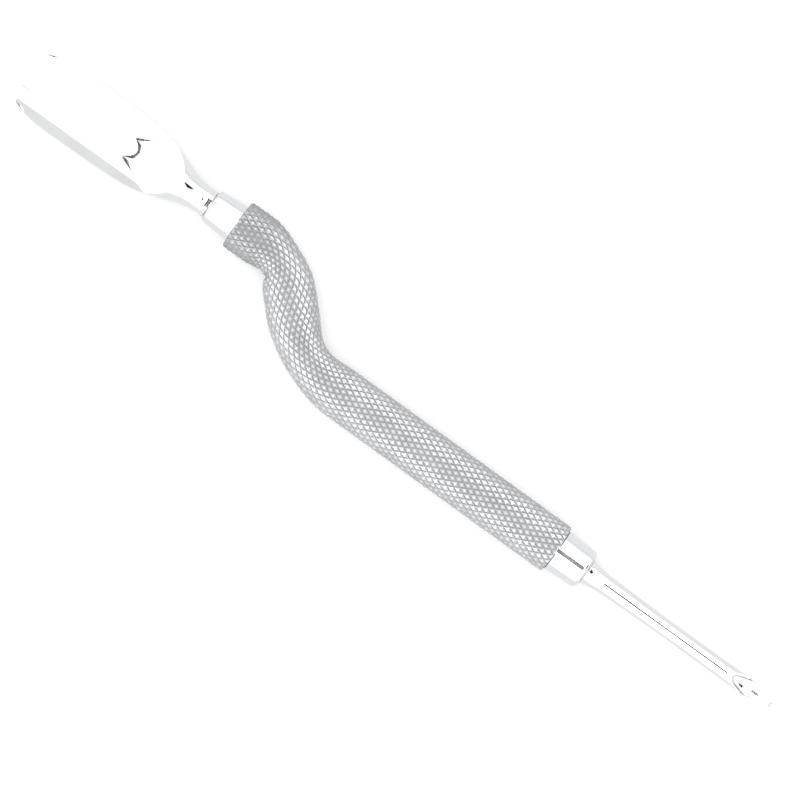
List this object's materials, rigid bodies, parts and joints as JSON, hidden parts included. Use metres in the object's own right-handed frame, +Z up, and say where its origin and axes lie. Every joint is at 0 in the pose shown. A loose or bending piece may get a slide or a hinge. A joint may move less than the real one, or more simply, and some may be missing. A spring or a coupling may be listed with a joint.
{
  "type": "cuticle pusher",
  "caption": "Double-ended steel cuticle pusher: knurled handle tube with a sideways offset bend, a broad scoop at one end and a thin pointed curette at the other.",
  "frame": {"origin": "on the surface the tool lies on, under the middle of its box", "axes": "+X runs along the straight grip from the scoop end to the curette tip; +Y is the side the scoop end is offset to; +Z is up, out of the scoop's hollow, square to the plane of the bends"},
  "size_m": [0.14, 0.0199, 0.0078],
  "materials": {
    "knurled_steel": "diamond knurled, satin",
    "polished_steel": "mirror polished",
    "ferrule_steel": "polished, turned"
  },
  "bodies": {
    "root": {"knurled_handle_tube": "knurled_steel", "scoop_ferrule": "ferrule_steel", "scoop_blade": "polished_steel", "curette_ferrule": "ferrule_steel", "curette_blade": "polished_steel"}
  },
  "joints": []
}
